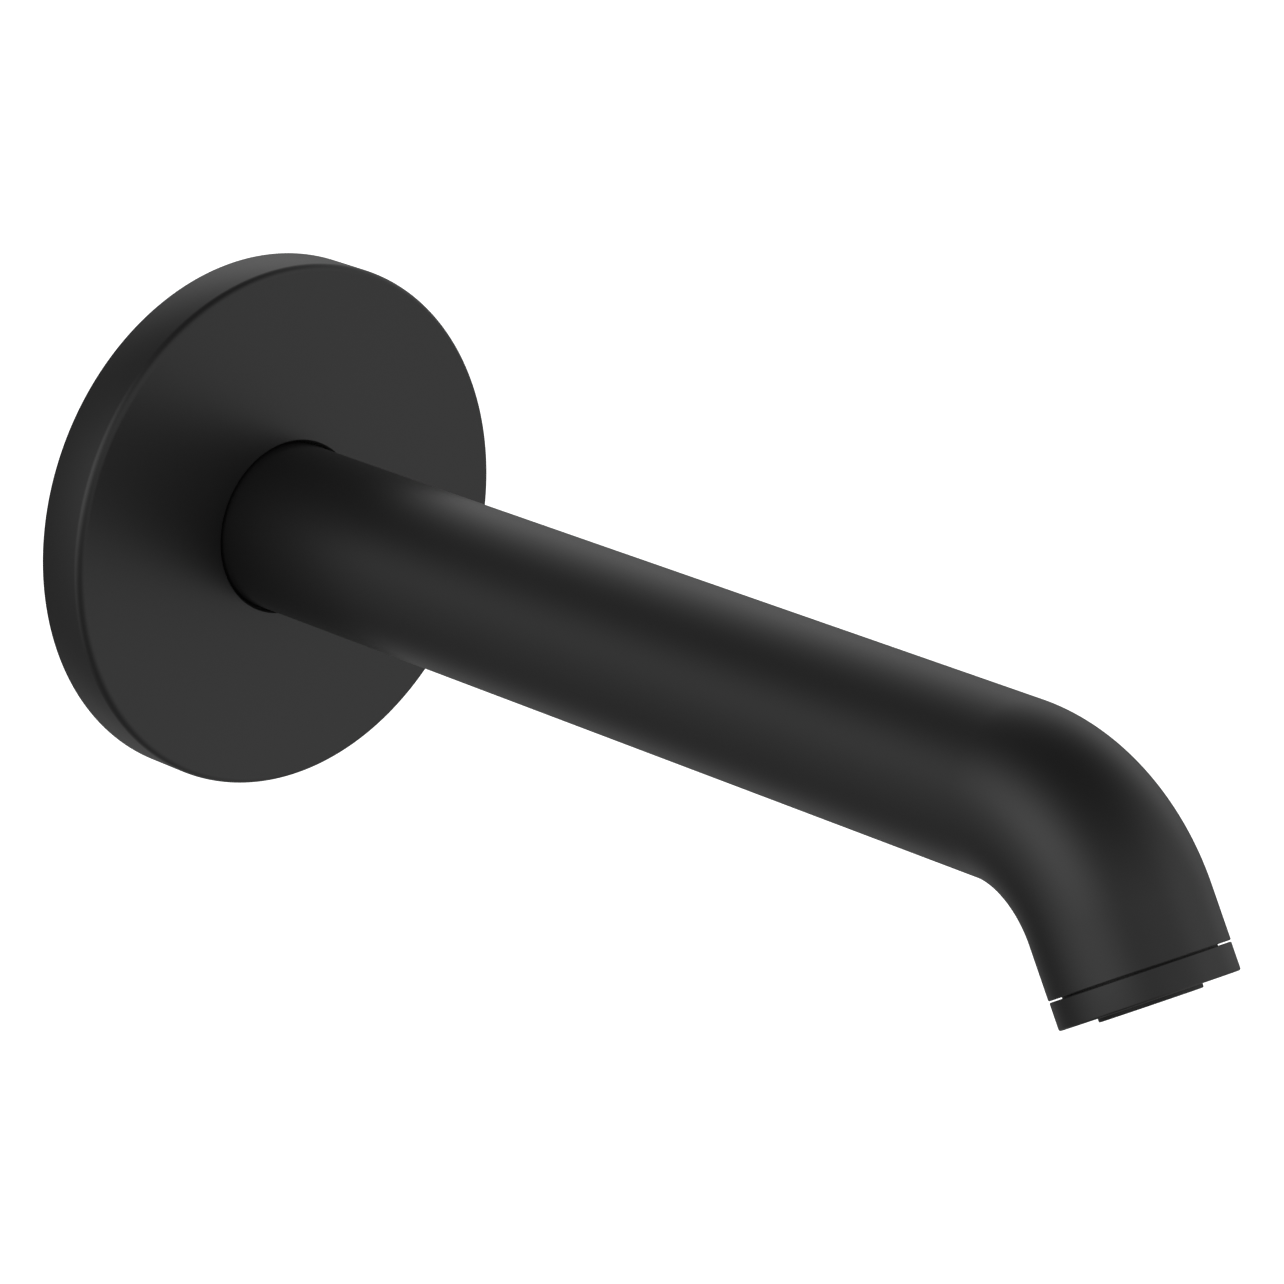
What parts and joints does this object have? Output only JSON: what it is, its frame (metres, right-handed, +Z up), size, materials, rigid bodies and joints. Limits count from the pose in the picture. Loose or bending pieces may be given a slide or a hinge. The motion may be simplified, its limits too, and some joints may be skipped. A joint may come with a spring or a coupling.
{
  "type": "spout",
  "caption": "Straight round wall spout in matt black with a flat round wall flange and a nose turned down to a screw-in aerator.",
  "frame": {"origin": "centre of the flange's back face, on the tube's axis at the wall", "axes": "+Y into the wall, the spout points along -Y, +Z up, +X to the right when facing the wall"},
  "size_m": [0.088, 0.2318, 0.088],
  "materials": {
    "black_coating": "matt black coating on brass",
    "brass": "turned",
    "black_rubber": "moulded",
    "foam": "closed-cell foam",
    "steel": "bright",
    "black_plastic": "moulded, satin",
    "light_plastic": "moulded, satin"
  },
  "bodies": {
    "root": {"spout_tube": "black_coating", "inlet_socket": "brass", "outlet_bush": "brass", "wall_flange": "black_coating", "flange_o_ring": "black_rubber", "wall_gasket": "foam", "wall_nipple": "brass", "nipple_washer": "black_rubber", "nipple_o_ring_front": "black_rubber", "nipple_o_ring_rear": "black_rubber", "set_screw": "steel", "aerator_collar": "black_coating", "aerator_washer": "black_rubber", "aerator_housing": "black_plastic", "inlet_strainer": "light_plastic", "jet_plate": "light_plastic", "regulator_ring": "black_rubber", "upper_screen": "steel", "lower_screen": "steel"}
  },
  "joints": []
}
